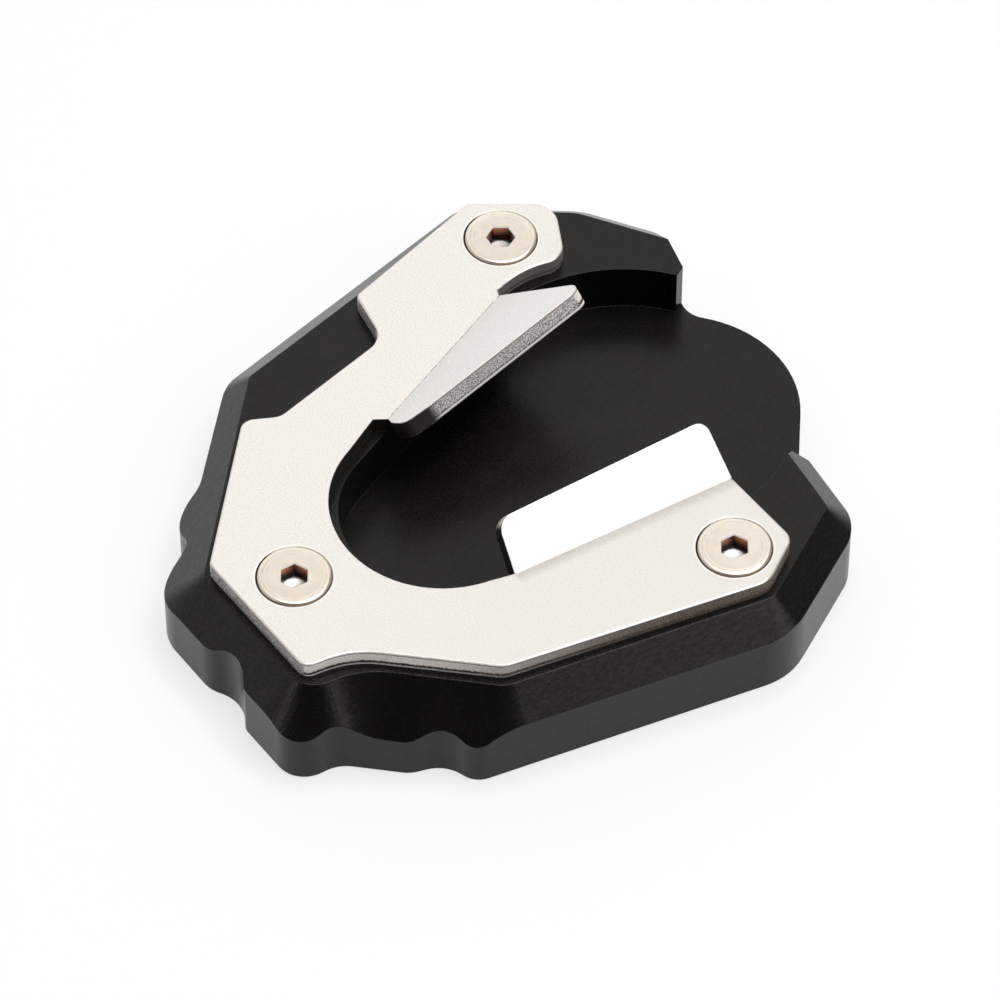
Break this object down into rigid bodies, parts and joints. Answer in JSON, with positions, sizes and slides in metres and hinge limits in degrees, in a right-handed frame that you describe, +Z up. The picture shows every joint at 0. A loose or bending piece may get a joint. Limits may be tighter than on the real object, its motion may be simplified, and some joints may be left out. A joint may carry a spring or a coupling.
{
  "type": "kickstand foot enlarger",
  "caption": "Chamfered base with an open foot pocket and a screwed-on clamping plate with bent tabs, which widens a motorcycle side stand's foot.",
  "frame": {"origin": "on the ground face, under the centre of the pocket's wide round", "axes": "+Z up, +Y along the long straight side towards the open end of the pocket, +X to the short tab's side"},
  "size_m": [0.1007, 0.1164, 0.029],
  "materials": {
    "base_black": "fine matte black anodised, milled and bead-blasted",
    "plate_steel": "stainless sheet with a fine blasted grain, laser-cut grainy edges",
    "screw_steel": "plain stainless, slightly warm, turned head"
  },
  "bodies": {
    "root": {"base": "base_black", "clamp_plate": "plate_steel", "screw_upper": "screw_steel", "screw_left": "screw_steel", "screw_right": "screw_steel"}
  },
  "joints": []
}
